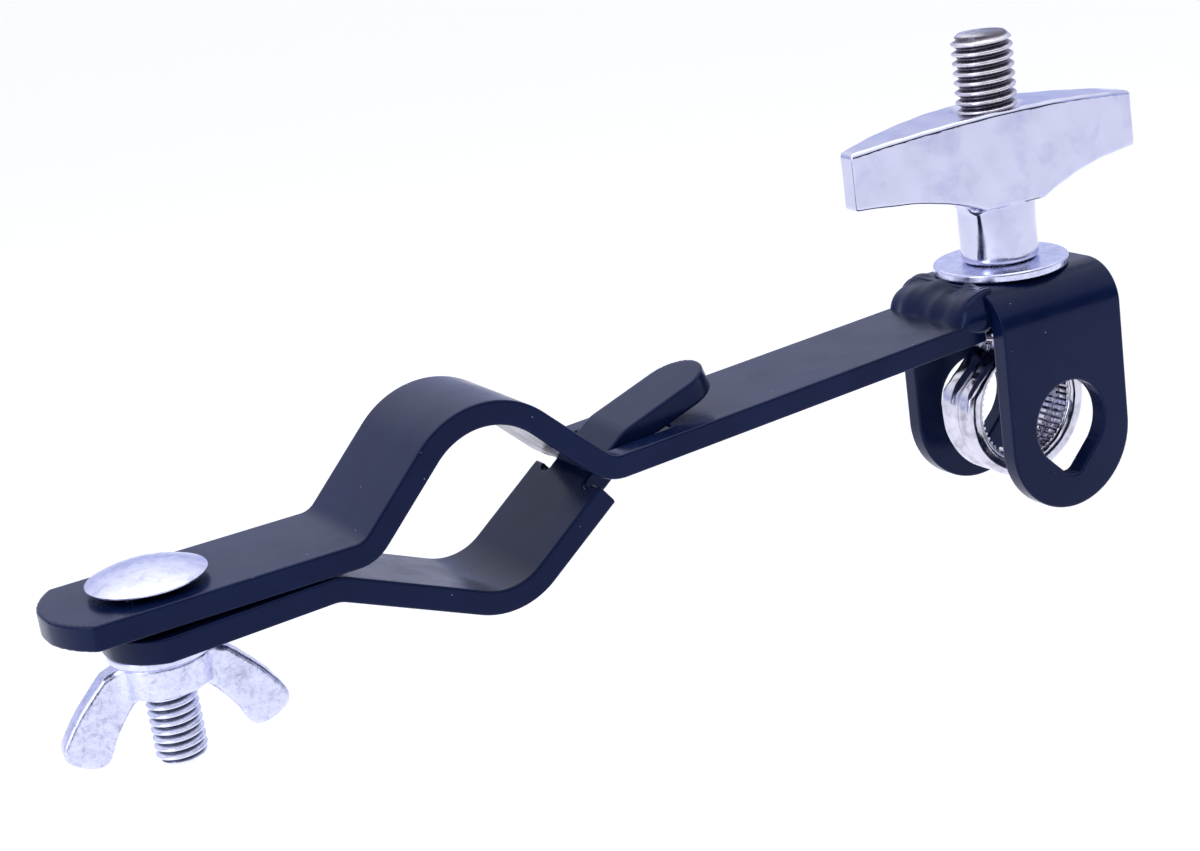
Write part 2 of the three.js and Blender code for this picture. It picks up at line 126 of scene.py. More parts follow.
# ------------------------------------------------------------------ colours and nodes
def linear(sheet):
    """An sRGB hex colour as linear RGBA."""
    parts = [int(sheet[i:i + 2], 16) / 255.0 for i in (1, 3, 5)]
    return [p / 12.92 if p <= 0.04045 else ((p + 0.055) / 1.055) ** 2.4 for p in parts] + [1.0]


def add(tree, kind, links=None, inputs=None, **settings):
    """Adds a node, sets its properties and inputs, and links its inputs to other nodes' outputs."""
    node = tree.nodes.new(kind)
    for key, value in settings.items():
        setattr(node, key, value)
    for key, value in (inputs or {}).items():
        node.inputs[key].default_value = value
    for key, source in (links or {}).items():
        tree.links.new(source, node.inputs[key])
    return node


def start_material(name, **constants):
    """A material with an empty tree: its shader, and object coordinates in millimetres."""
    material = bpy.data.materials.new(name)
    material.use_nodes = True
    tree = material.node_tree
    tree.nodes.clear()
    shader = add(tree, "ShaderNodeBsdfPrincipled", inputs=constants)
    add(tree, "ShaderNodeOutputMaterial", links={"Surface": shader.outputs["BSDF"]})
    where = add(tree, "ShaderNodeTexCoord")
    to_mm = add(tree, "ShaderNodeVectorMath", operation="SCALE",
                links={"Vector": where.outputs["Object"]}, inputs={"Scale": 1000.0})
    return material, tree, shader, to_mm.outputs["Vector"]


def grain(tree, place, size_mm, detail=3.0, rough=0.5, distortion=0.0):
    """Soft noise whose features are about size_mm across."""
    return add(tree, "ShaderNodeTexNoise", links={"Vector": place},
               inputs={"Scale": 1.0 / size_mm, "Detail": detail, "Roughness": rough,
                       "Distortion": distortion}).outputs["Fac"]


def between(tree, source, low, high, from_low=0.35, from_high=0.65):
    """Source carried from one range to another, smooth and held at both ends."""
    return add(tree, "ShaderNodeMapRange", links={"Value": source}, interpolation_type="SMOOTHSTEP",
               inputs={"From Min": from_low, "From Max": from_high, "To Min": low, "To Max": high}).outputs["Result"]


def mixed(tree, share, first, second):
    """Two colours, each a list or a socket, mixed by a socket."""
    node = add(tree, "ShaderNodeMix", data_type="RGBA", links={0: share})
    for index, value in ((6, first), (7, second)):
        if isinstance(value, (list, tuple)):
            node.inputs[index].default_value = value
        else:
            tree.links.new(value, node.inputs[index])
    return node.outputs[2]


def bumps(tree, shader, *layers):
    """Chains height layers, each (socket, depth in mm), into the shader's normal."""
    previous = None
    for height, depth in layers:
        links = {"Height": height}
        if previous is not None:
            links["Normal"] = previous
        node = add(tree, "ShaderNodeBump", links=links, inputs={"Strength": 1.0, "Distance": depth * MM})
        previous = node.outputs["Normal"]
    tree.links.new(previous, shader.inputs["Normal"])


# ------------------------------------------------------------------ finishes
def black_enamel(c):
    """Black stove enamel on steel strip: a thin glossy film with a blue cast and slight orange peel,
    a faint cloudy bloom, and dust and pinholes that catch the light."""
    material, tree, shader, mm = start_material("black_stove_enamel", **{
        "IOR": 1.33, "Specular Tint": linear("#b4c0f4")})
    bloom = between(tree, grain(tree, mm, 14.0, 4.0, 0.6), 0.0, 1.0)
    base = mixed(tree, bloom, linear(c.enamel), linear(c.enamel_bloom))
    # dust and pinholes, 0.1 to 0.2 mm across and a few mm apart
    cells = add(tree, "ShaderNodeTexVoronoi", links={"Vector": mm}, inputs={"Scale": 1.0 / 1.9})
    speck = between(tree, cells.outputs["Distance"], 1.0, 0.0, 0.03, 0.055)
    rare = between(tree, grain(tree, mm, 4.5, 2.0), 0.0, 1.0, 0.5, 0.6)
    dust = add(tree, "ShaderNodeMath", operation="MULTIPLY", links={0: speck, 1: rare}).outputs[0]
    tree.links.new(mixed(tree, dust, base, linear("#8d90a8")), shader.inputs["Base Color"])
    film = between(tree, grain(tree, mm, 5.0, 5.0, 0.65), 0.17, 0.27)
    tree.links.new(film, shader.inputs["Roughness"])
    bumps(tree, shader, (grain(tree, mm, 1.3, 2.0), 0.012), (grain(tree, mm, 9.0, 1.0), 0.06), (dust, 0.02))
    return material


def plated(name, pale, dark, cloud, patches, haze, roughness, *waves):
    """A plated metal: two tones in cloudy patches, a roughness that drifts, and waves of a given depth in mm.
    Each noise is (size in mm, detail, roughness, distortion)."""
    material, tree, shader, mm = start_material(name, **{"Metallic": 1.0})
    share = between(tree, grain(tree, mm, *cloud), *patches)
    tree.links.new(mixed(tree, share, linear(pale), linear(dark)), shader.inputs["Base Color"])
    tree.links.new(between(tree, grain(tree, mm, *haze), *roughness), shader.inputs["Roughness"])
    bumps(tree, shader, *[(grain(tree, mm, *wave), depth) for wave, depth in waves])
    return material


def zinc_plate(c):
    """Bright zinc plate: pale, slightly blue, with a fine cloudy spangle and light scuffs."""
    return plated("bright_zinc_plate", c.zinc, c.zinc_dark, (2.6, 6.0, 0.7, 0.6), (0.0, 1.0, 0.42, 0.8),
                  (0.9, 4.0, 0.6), (0.16, 0.34), ((0.7, 3.0), 0.01), ((4.0, 1.0), 0.05))


def cast_zinc(c):
    """Zinc-plated casting: grainy skin from the mould, bright crests and dull hollows."""
    mould = (0.6, 4.0, 0.7)
    return plated("zinc_plated_casting", c.zinc, "#a3a5ba", (1.5, 6.0, 0.8, 0.8), (0.0, 1.0, 0.45, 0.75),
                  mould, (0.2, 0.42), (mould, 0.03), ((1.8, 2.0), 0.07))


def chrome_plate(c):
    """Chrome over a hand-polished casting: a near mirror, with long soft waves and cloudy patches."""
    return plated("chrome_plate_on_casting", c.chrome, c.chrome_dark, (5.0, 5.0, 0.6, 0.4), (0.0, 0.6, 0.45, 0.8),
                  (2.4, 4.0, 0.6), (0.07, 0.18), ((6.5, 2.0), 0.1), ((1.1, 2.0), 0.006))


def nickel_plate(c):
    """Nickel over a casting: bright and a little warmer and softer than chrome."""
    return plated("nickel_plate_on_casting", "#d6d5de", "#8b8a96", (2.6, 4.0, 0.6), (0.0, 1.0, 0.45, 0.8),
                  (1.1, 4.0, 0.6), (0.1, 0.22), ((0.8, 3.0), 0.012), ((4.0, 1.0), 0.05))


def rolled_thread(c):
    """Rolled and plated thread: bright burnished crests, and painted shade in the roots, coloured dull grey."""
    material, tree, shader, mm = start_material("rolled_zinc_thread", **{"Metallic": 1.0})
    depth = add(tree, "ShaderNodeAttribute", attribute_name="crest").outputs["Fac"]
    # painted shade: the thread's roots are coloured dark grey by their depth
    root = between(tree, depth, 1.0, 0.0, 0.0, 0.6)
    tree.links.new(mixed(tree, root, linear(c.thread), linear("#4a4e62")), shader.inputs["Base Color"])
    tree.links.new(between(tree, grain(tree, mm, 0.8, 3.0), 0.22, 0.4), shader.inputs["Roughness"])
    bumps(tree, shader, (grain(tree, mm, 0.5, 3.0), 0.03))
    return material


def nickel_thread(c):
    """Rolled thread under nickel: white burnished crests, and warm dark painted shade in the roots, reaching unevenly
    in patches.
    """
    material, tree, shader, mm = start_material("nickel_plated_thread", **{"Metallic": 1.0})
    depth = add(tree, "ShaderNodeAttribute", attribute_name="crest").outputs["Fac"]
    # painted shade in the roots: a noise makes it reach unevenly up the flanks
    patchy_shade_reach = between(tree, grain(tree, mm, 1.1, 4.0, 0.7), 0.75, 1.1)
    height = add(tree, "ShaderNodeMath", operation="MULTIPLY", links={0: depth, 1: patchy_shade_reach}).outputs[0]
    root = between(tree, height, 1.0, 0.0, 0.2, 0.95)
    tree.links.new(mixed(tree, root, linear("#dcd9de"), linear("#5e5964")), shader.inputs["Base Color"])
    tree.links.new(between(tree, grain(tree, mm, 0.8, 3.0), 0.16, 0.34), shader.inputs["Roughness"])
    bumps(tree, shader, (grain(tree, mm, 0.5, 3.0), 0.02))
    return material


def studio_floor(c):
    """Matte painted board: plain and pale, with a barely visible tooth."""
    material, tree, shader, mm = start_material("matte_white_board", **{"Roughness": 0.9})
    tooth = between(tree, grain(tree, mm, 60.0, 2.0), 0.0, 1.0)
    tree.links.new(mixed(tree, tooth, linear(c.floor), linear("#f7f7fb")), shader.inputs["Base Color"])
    return material


FINISHES = {"enamel": black_enamel, "zinc": zinc_plate, "casting": cast_zinc, "chrome": chrome_plate,
            "nickel": nickel_plate, "thread": rolled_thread, "stud": nickel_thread, "floor": studio_floor}


def finish(name):
    """The material of that finish, made the first time it is asked for."""
    made = FINISHES[name].__name__
    known = bpy.context.scene.get("clamp_finishes", {})
    if made in known and known[made] in bpy.data.materials:
        return bpy.data.materials[known[made]]
    material = FINISHES[name](bpy.context.scene.clamp_colours)
    bpy.context.scene["clamp_finishes"] = {**dict(known), made: material.name}
    return material


# ------------------------------------------------------------------ fields: negative inside, in mm
def slab(value, half):
    return np.abs(value) - half


def disc(x, y, centre_x, centre_y, radius):
    return np.hypot(x - centre_x, y - centre_y) - radius


def oblong(x, y, centre_x, centre_y, half_x, half_y):
    """Distance to a rectangle."""
    over_x = np.abs(x - centre_x) - half_x
    over_y = np.abs(y - centre_y) - half_y
    outside = np.hypot(np.maximum(over_x, 0), np.maximum(over_y, 0))
    return outside + np.minimum(np.maximum(over_x, over_y), 0)


def rounded_end(along, across, radius):
    """A strip that starts at zero with a round end and runs on without limit."""
    return np.where(along < radius, np.hypot(along - radius, across), np.abs(across)) - radius


def common(a, b, radius):
    """What two solids share, its new edge rounded."""
    u = np.maximum(a + radius, 0)
    v = np.maximum(b + radius, 0)
    return np.minimum(np.maximum(a, b), -radius) + np.hypot(u, v)


def joined(a, b, radius):
    """Two solids run together with a fillet."""
    u = np.maximum(radius - a, 0)
    v = np.maximum(radius - b, 0)
    return np.maximum(np.minimum(a, b), radius) - np.hypot(u, v)


def cut(a, b, radius):
    """The first solid without the second, the new edge rounded."""
    return common(a, -b, radius)


def outline(x, y, corners):
    """Distance to a closed polygon."""
    points = np.asarray(corners, float)
    nearest = np.full(x.shape, np.inf)
    inside = np.zeros(x.shape, bool)
    for (ax, ay), (bx, by) in zip(points, np.roll(points, -1, axis=0)):
        ex, ey = bx - ax, by - ay
        px, py = x - ax, y - ay
        share = np.clip((px * ex + py * ey) / (ex * ex + ey * ey + 1e-12), 0, 1)
        nearest = np.minimum(nearest, (px - share * ex) ** 2 + (py - share * ey) ** 2)
        crosses = ((ay > y) != (by > y)) & (px < ex * py / (ey if abs(ey) > 1e-12 else 1e-12))
        inside ^= crosses
    return np.where(inside, -1.0, 1.0) * np.sqrt(nearest)


def curve(*controls, steps=8):
    """Points of a chain of quadratic curves: start, then (control, end) pairs."""
    points = [controls[0]]
    for control, end in zip(controls[1::2], controls[2::2]):
        start = points[-1]
        for t in np.linspace(0, 1, steps + 1)[1:]:
            points.append(tuple((1 - t) ** 2 * np.array(start) + 2 * t * (1 - t) * np.array(control)
                                + t * t * np.array(end)))
    return points


# ------------------------------------------------------------------ skins
CORNERS = [(i, j, k) for i in (0, 1) for j in (0, 1) for k in (0, 1)]
CELL_EDGES = [(a, b) for a in CORNERS for b in CORNERS if a < b and sum(abs(p - q) for p, q in zip(a, b)) == 1]


def skin(field, low, high, steps):
    """A closed skin where the field crosses zero: vertices, quads and true normals."""
    axes = [np.arange(a - 1.5 * s, b + 2.5 * s, s) for a, b, s in zip(low, high, steps)]
    value = field(*np.meshgrid(*axes, indexing="ij"))
    inside = value < 0
    cells = [n - 1 for n in value.shape]

    def corner(grid, c):
        return grid[tuple(slice(c[d], c[d] + cells[d]) for d in range(3))]

    count = sum(corner(inside, c).astype(int) for c in CORNERS)
    mixed_cells = (count > 0) & (count < 8)
    index = np.full(cells, -1)
    index[mixed_cells] = np.arange(mixed_cells.sum())
    total = np.zeros((mixed_cells.sum(), 3))
    hits = np.zeros(mixed_cells.sum())
    for a, b in CELL_EDGES:
        va, vb = corner(value, a)[mixed_cells], corner(value, b)[mixed_cells]
        crossed = (va < 0) != (vb < 0)
        share = np.where(crossed, va / np.where(crossed, va - vb, 1), 0)
        spot = np.array(a) + share[:, None] * (np.array(b) - np.array(a))
        total[crossed] += spot[crossed]
        hits[crossed] += 1
    base = np.argwhere(mixed_cells)
    points = np.array([ax[0] for ax in axes]) + (base + total / hits[:, None]) * np.array(steps)

    quads = []
    for axis in range(3):
        other = [d for d in range(3) if d != axis]
        lower = [slice(1, n - 1) for n in value.shape]
        lower[axis] = slice(0, value.shape[axis] - 1)
        upper = list(lower)
        upper[axis] = slice(1, value.shape[axis])
        first, second = inside[tuple(lower)], inside[tuple(upper)]
        where = np.argwhere(first != second)
        offset = np.array([0 if d == axis else 1 for d in range(3)])
        where = where + offset
        around = []
        for du, dv in ((1, 1), (0, 1), (0, 0), (1, 0)):
            shift = np.zeros(3, int)
            shift[other[0]], shift[other[1]] = du, dv
            around.append(index[tuple((where - shift).T)])
        faces = np.stack(around, axis=1)
        outward = first[tuple((where - offset).T)]
        flip = outward if axis != 1 else ~outward
        faces[~flip] = faces[~flip][:, ::-1]
        quads.append(faces)
    quads = np.concatenate(quads)

    reach = 0.02
    for _ in range(SKIN_PASSES):
        gradient = slope_of(field, points, reach)
        size = np.maximum((gradient ** 2).sum(1), 1e-6)
        move = -(field(*points.T) / size)[:, None] * gradient
        limit = 0.5 * min(steps)
        long = np.maximum(np.linalg.norm(move, axis=1) / limit, 1)
        points = points + move / long[:, None]
    normals = slope_of(field, points, reach)
    normals /= np.maximum(np.linalg.norm(normals, axis=1), 1e-9)[:, None]
    return points, quads, normals


def slope_of(field, points, reach):
    """The field's gradient at each point."""
    columns = []
    for axis in range(3):
        step = np.zeros(3)
        step[axis] = reach
        columns.append((field(*(points + step).T) - field(*(points - step).T)) / (2 * reach))
    return np.stack(columns, axis=1)


def turned(profile, steps=96):
    """A solid of revolution about Z from [radius, height] pairs that start and end on the axis."""
    profile = np.asarray(profile, float)
    angles = np.arange(steps) * 2 * math.pi / steps
    rings = profile[1:-1]
    body = np.stack([np.outer(rings[:, 0], np.cos(angles)), np.outer(rings[:, 0], np.sin(angles)),
                     np.repeat(rings[:, 1:2], steps, axis=1)], axis=-1).reshape(-1, 3)
    points = np.vstack([body, [[0, 0, profile[0, 1]], [0, 0, profile[-1, 1]]]])
    first, last = len(body), len(body) + 1
    around = np.arange(steps)
    after = (around + 1) % steps
    faces = []
    for row in range(len(rings) - 1):
        a, b = row * steps, (row + 1) * steps
        faces += np.stack([a + around, a + after, b + after, b + around], axis=1).tolist()
    top = (len(rings) - 1) * steps
    faces += np.stack([np.full(steps, first), after, around], axis=1).tolist()
    faces += np.stack([np.full(steps, last), top + around, top + after], axis=1).tolist()
    return points, faces


def eased(profile, radius, steps=5):
    """A [radius, height] profile with its corners rounded and held flat on both sides of each."""
    profile = [np.array(p, float) for p in profile]
    made = [profile[0]]
    for before, here, after in zip(profile, profile[1:], profile[2:]):
        into, out = before - here, after - here
        reach = min(radius, 0.45 * np.linalg.norm(into), 0.45 * np.linalg.norm(out))
        into, out = into / np.linalg.norm(into), out / np.linalg.norm(out)
        made.append(here + into * (reach * 1.12))
        for t in np.linspace(0, 1, steps + 1):
            made.append((1 - t) ** 2 * (here + into * reach) + 2 * t * (1 - t) * here + t * t * (here + out * reach))
        made.append(here + out * (reach * 1.12))
    made.append(profile[-1])
    return made


# ------------------------------------------------------------------ bent strips
class Path:
    """The middle line of a bent strip, read by the length along it."""

    def __init__(self, corners, radii):
        corners = [np.array(c, float) for c in corners]
        line, heading = [corners[0]], []
        first = corners[1] - corners[0]
        heading.append(math.atan2(first[1], first[0]))
        for i in range(1, len(corners) - 1):
            into = corners[i] - corners[i - 1]
            out = corners[i + 1] - corners[i]
            into, out = into / np.linalg.norm(into), out / np.linalg.norm(out)
            turn = math.atan2(into[0] * out[1] - into[1] * out[0], into @ out)
            radius = radii[i - 1]
            start = corners[i] - into * radius * math.tan(abs(turn) / 2)
            side = np.array([-into[1], into[0]]) * math.copysign(radius, turn)
            centre = start + side
            lead = math.atan2(into[1], into[0])
            for step in range(41):
                a = turn * step / 40
                arm = -side
                spun = np.array([arm[0] * math.cos(a) - arm[1] * math.sin(a),
                                 arm[0] * math.sin(a) + arm[1] * math.cos(a)])
                line.append(centre + spun)
                heading.append(lead + a)
        line.append(corners[-1])
        heading.append(heading[-1])
        self.line = np.array(line)
        self.heading = np.array(heading)
        self.length = np.concatenate([[0], np.cumsum(np.linalg.norm(np.diff(self.line, axis=0), axis=1))])

    def at_x(self, x):
        """The length along the line where it reaches that x."""
        return float(np.interp(x, self.line[:, 0], self.length))

    def bend(self, points, normals):
        """Flat (along, across, above) points and normals carried onto the bent line, as (u, across, v)."""
        along, across, above = points.T
        u = np.interp(along, self.length, self.line[:, 0])
        v = np.interp(along, self.length, self.line[:, 1])
        over = along - self.length[-1]
        heading = np.interp(along, self.length, self.heading)
        u += np.maximum(over, 0) * np.cos(heading) + np.minimum(along, 0) * np.cos(heading)
        v += np.maximum(over, 0) * np.sin(heading) + np.minimum(along, 0) * np.sin(heading)
        bent = np.stack([u - above * np.sin(heading), across, v + above * np.cos(heading)], axis=1)
        na, nc, nb = normals.T
        turned_normals = np.stack([na * np.cos(heading) - nb * np.sin(heading), nc,
                                   na * np.sin(heading) + nb * np.cos(heading)], axis=1)
        return bent, turned_normals


# ------------------------------------------------------------------ finished pieces
def finish_piece(name, points, faces, surface, body, nodes, normals=None):
    """Makes the mesh in metres, smooth, and tells the frame what it rides on and stands for."""
    mesh = bpy.data.meshes.new(name)
    mesh.from_pydata((np.asarray(points) * MM).tolist(), [], [list(map(int, f)) for f in faces])
    mesh.validate()
    mesh.update()
    mesh.shade_smooth()
    if normals is not None:
        mesh.normals_split_custom_set_from_vertices([tuple(n) for n in normals])
    piece = bpy.data.objects.new(name, mesh)
    bpy.context.scene.collection.objects.link(piece)
    mesh.materials.append(finish(surface))
    return settle(piece, body, nodes)


def settle(piece, body, nodes):
    """Tells the frame which body a piece rides on and which solid it stands for."""
    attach(piece, body)
    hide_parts(*nodes)
    return piece


def moved(points, x=0.0, y=0.0, z=0.0, turn=0.0):
    """Points turned about Z and then moved."""
    points = np.asarray(points, float)
    c, s = math.cos(turn), math.sin(turn)
    return np.stack([points[:, 0] * c - points[:, 1] * s + x, points[:, 0] * s + points[:, 1] * c + y,
                     points[:, 2] + z], axis=1)


def middle(node):
    """The middle of a solid's box, in mm."""
    low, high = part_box(node)
    return [(a + b) / 2 / MM for a, b in zip(low, high)]


def edge_mm(node, side, axis):
    """One face of a solid's box, in mm: side 0 is the lowest, 1 the highest."""
    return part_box(node)[side][axis] / MM


# ------------------------------------------------------------------ thread, made with nodes
def start_tree(name, sizes, *counts):
    """A geometry tree with named sizes, counts and a material as inputs, and the group input's sockets."""
    tree = bpy.data.node_groups.new(name, "GeometryNodeTree")
    kinds = [(size, "Float") for size in sizes] + [(count, "Int") for count in counts] + [("Material", "Material")]
    for socket, kind in kinds:
        tree.interface.new_socket(socket, in_out="INPUT", socket_type="NodeSocket" + kind)
    tree.interface.new_socket("Geometry", in_out="OUTPUT", socket_type="NodeSocketGeometry")
    return tree, add(tree, "NodeGroupInput").outputs


def end_tree(tree, given, geometry):
    """Makes instances real, gives the material and closes the tree."""
    real = add(tree, "GeometryNodeRealizeInstances", links={"Geometry": geometry})
    dressed = add(tree, "GeometryNodeSetMaterial",
                  links={"Geometry": real.outputs["Geometry"], "Material": given["Material"]})
    add(tree, "NodeGroupOutput", links={"Geometry": dressed.outputs["Geometry"]})
    return tree


def thread_tree():
    """A screw thread about Z, from a grid rolled into a shaft whose radius follows the pitch."""
    tree, given = start_tree("screw thread", ("Radius", "Pitch", "Depth", "Length", "Chamfer"), "Rows")

    def calc(operation, *values, clamp=False):
        node = add(tree, "ShaderNodeMath", operation=operation, use_clamp=clamp)
        for slot_index, value in enumerate(values):
            if isinstance(value, (int, float)):
                node.inputs[slot_index].default_value = value
            else:
                tree.links.new(value, node.inputs[slot_index])
        return node.outputs[0]

    grid = add(tree, "GeometryNodeMeshGrid", inputs={"Size X": 1.0, "Size Y": 1.0, "Vertices X": THREAD_AROUND + 1},
               links={"Vertices Y": given["Rows"]})
    place = add(tree, "GeometryNodeInputPosition")
    split = add(tree, "ShaderNodeSeparateXYZ", links={"Vector": place.outputs["Position"]})
    angle = calc("MULTIPLY", calc("ADD", split.outputs["X"], 0.5), 2 * math.pi)
    # the first and last rows close the ends on the axis
    row = calc("ADD", split.outputs["Y"], 0.5)
    last = calc("SUBTRACT", given["Rows"], 1.0)
    number = calc("ROUND", calc("MULTIPLY", row, last))
    share = calc("DIVIDE", calc("SUBTRACT", number, 1.0), calc("SUBTRACT", last, 2.0), clamp=True)
    height = calc("MULTIPLY", share, given["Length"])
    open_row = calc("MULTIPLY", calc("GREATER_THAN", number, 0.5),
                    calc("LESS_THAN", number, calc("SUBTRACT", last, 0.5)))
    phase = calc("FRACT", calc("SUBTRACT", calc("DIVIDE", height, given["Pitch"]),
                               calc("DIVIDE", angle, 2 * math.pi)))
    # 0 at the root and 1 at the crest, with a flat on each
    flank = calc("SUBTRACT", 1.0, calc("ABSOLUTE", calc("SUBTRACT", calc("MULTIPLY", phase, 2.0), 1.0)))
    lift = add(tree, "ShaderNodeMapRange", interpolation_type="SMOOTHSTEP", links={"Value": flank},
               inputs={"From Min": 0.1, "From Max": 0.86}).outputs["Result"]
    crest = calc("ADD", calc("SUBTRACT", given["Radius"], given["Depth"]), calc("MULTIPLY", lift, given["Depth"]))
    from_end = calc("MINIMUM", height, calc("SUBTRACT", given["Length"], height))
    bevel = calc("ADD", calc("SUBTRACT", given["Radius"], given["Chamfer"]), from_end)
    radius = calc("MULTIPLY", calc("MINIMUM", crest, bevel), open_row)
    spot = add(tree, "ShaderNodeCombineXYZ", links={
        "X": calc("MULTIPLY", radius, calc("COSINE", angle)),
        "Y": calc("MULTIPLY", radius, calc("SINE", angle)), "Z": height})
    # the height of the thread is stored on the flat grid, because it is worked out from the grid's own positions
    marked = add(tree, "GeometryNodeStoreNamedAttribute", data_type="FLOAT", domain="POINT",
                 inputs={"Name": "crest"}, links={"Geometry": grid.outputs["Mesh"], "Value": lift})
    rolled = add(tree, "GeometryNodeSetPosition",
                 links={"Geometry": marked.outputs["Geometry"], "Position": spot.outputs["Vector"]})
    closed = add(tree, "GeometryNodeMergeByDistance", inputs={"Distance": 0.00001},
                 links={"Geometry": rolled.outputs["Geometry"]})
    smooth = add(tree, "GeometryNodeSetShadeSmooth", links={"Geometry": closed.outputs["Geometry"]})
    return end_tree(tree, given, smooth.outputs["Geometry"])


def teeth_tree():
    """Small ribs set round the inside of a ring, each lying along the ring's axis."""
    tree, given = start_tree("ring teeth", ("Radius", "Tooth Width", "Tooth Height", "Tooth Length"), "Count")
    circle = add(tree, "GeometryNodeMeshCircle", links={"Vertices": given["Count"], "Radius": given["Radius"]})
    # a six-sided rod, flattened into a low rib
    rib = add(tree, "GeometryNodeMeshCylinder", inputs={"Vertices": 6, "Radius": 0.5, "Depth": 1.0})
    size = add(tree, "ShaderNodeCombineXYZ", links={"X": given["Tooth Height"], "Y": given["Tooth Width"],
                                                   "Z": given["Tooth Length"]})
    shaped = add(tree, "GeometryNodeTransform",
                 links={"Geometry": rib.outputs["Mesh"], "Scale": size.outputs["Vector"]})
    place = add(tree, "GeometryNodeInputPosition")
    facing = add(tree, "FunctionNodeAlignRotationToVector", axis="X", pivot_axis="Z",
                 links={"Vector": place.outputs["Position"]})
    ribs = add(tree, "GeometryNodeInstanceOnPoints", links={
        "Points": circle.outputs["Mesh"], "Instance": shaped.outputs["Geometry"],
        "Rotation": facing.outputs["Rotation"]})
    return end_tree(tree, given, ribs.outputs["Instances"])


def grown(name, tree, values, place):
    """Runs a node tree with the named inputs and keeps its result as a plain mesh at that place."""
    holder = bpy.data.objects.new(name + "_source", bpy.data.meshes.new(name + "_source"))
    bpy.context.scene.collection.objects.link(holder)
    modifier = holder.modifiers.new(name, "NODES")
    modifier.node_group = tree
    sockets = {item.name: item.identifier for item in tree.interface.items_tree if item.in_out == "INPUT"}
    for key, value in values.items():
        modifier[sockets[key]] = value
    bpy.context.view_layer.update()
    evaluated = holder.evaluated_get(bpy.context.evaluated_depsgraph_get())
    mesh = bpy.data.meshes.new_from_object(evaluated)
    mesh.transform(place)
    mesh.name = name
    piece = bpy.data.objects.new(name, mesh)
    bpy.context.scene.collection.objects.link(piece)
    holder.modifiers.remove(modifier)
    bpy.data.objects.remove(holder)
    if not mesh.polygons:
        raise RuntimeError(name + " came out empty")
    return piece


def screw_thread(name, radius, pitch, depth, chamfer, x, low, top, surface):
    """A thread from low to top at x, in mm, with its radius and pitch in metres and its depth as a share of them."""
    turns = (top - low) / (pitch / MM)
    return grown(name, thread_tree(), {
        "Radius": radius, "Pitch": pitch, "Depth": depth * pitch, "Length": (top - low) * MM,
        "Chamfer": chamfer * MM, "Rows": int(turns * ROWS_PER_TURN) + 3, "Material": finish(surface)},
        Matrix.Translation((x * MM, 0, low * MM)))


# ------------------------------------------------------------------ the bars
BOLT_X = middle("carriage_bolt")[0]
EYE_X = middle("flat_washer")[0]


class CLAMP_OT_upper_bar(bpy.types.Operator):
    """Bends the upper bar: flat, arch, valley with its slot, and the long arm"""
    bl_idname = "clamp.upper_bar"
    bl_label = "Upper bar"

    def execute(self, context):
        sizes = context.scene.clamp_bars
        half, thick, edge = sizes.width / MM / 2, sizes.thick / MM / 2, sizes.edge / MM
        arch = sizes.arch / MM
        end_x, sag, flat_z = edge_mm("upper_jaw_arm", 0, 0), 3.4, FLAT_TOP - thick
        arch_z, rise, valley = 1.2, math.radians(3.0), (15.6, 0.24)
        peak = (0.0, arch_z + arch * math.sqrt(2))
        arm_x = edge_mm("upper_jaw_arm", 1, 0)
        arm_end = (arm_x, valley[1] + math.tan(rise) * (arm_x - valley[0]))
        path = Path([(end_x, flat_z), (flat_z - peak[1], flat_z), peak, valley, arm_end], [4.0, arch, 4.5])
        total = path.length[-1]
        end_r = (half * half + sag * sag) / (2 * sag)
        bolt_s = path.at_x(BOLT_X)
        slot_low, slot_high = path.at_x(14.2), path.at_x(26.1)
        nose_s = path.at_x(edge_mm("rod_bracket", 0, 0) - 0.3)

        def field(s, y, n):
            plan = oblong(s, y, total / 2, 0, total / 2, half)
            plan = common(plan, rounded_end(s, y, end_r), 0.25)
            nose = np.maximum(nose_s - s, 6.5 - np.abs(y))
            plan = cut(plan, nose, 0.3)
            slot_field = oblong(s, y, (slot_low + slot_high) / 2, 0, (slot_high - slot_low) / 2 - 0.6,
                                sizes.slot / MM / 2 - 0.6) - 0.6
            plan = cut(plan, slot_field, 0.1)
            plan = cut(plan, oblong(s, y, bolt_s, 0, 3.2, 3.2), 0.1)
            return common(plan, slab(n, thick), edge)

        points, quads, normals = skin(field, (0, -half, -thick), (total, half, thick), (0.5, 0.25, 0.2))
        points, normals = path.bend(points, normals)
        finish_piece("upper_bar", points, quads, "enamel", "frame", ["upper_jaw_arm"], normals)
        return {"FINISHED"}


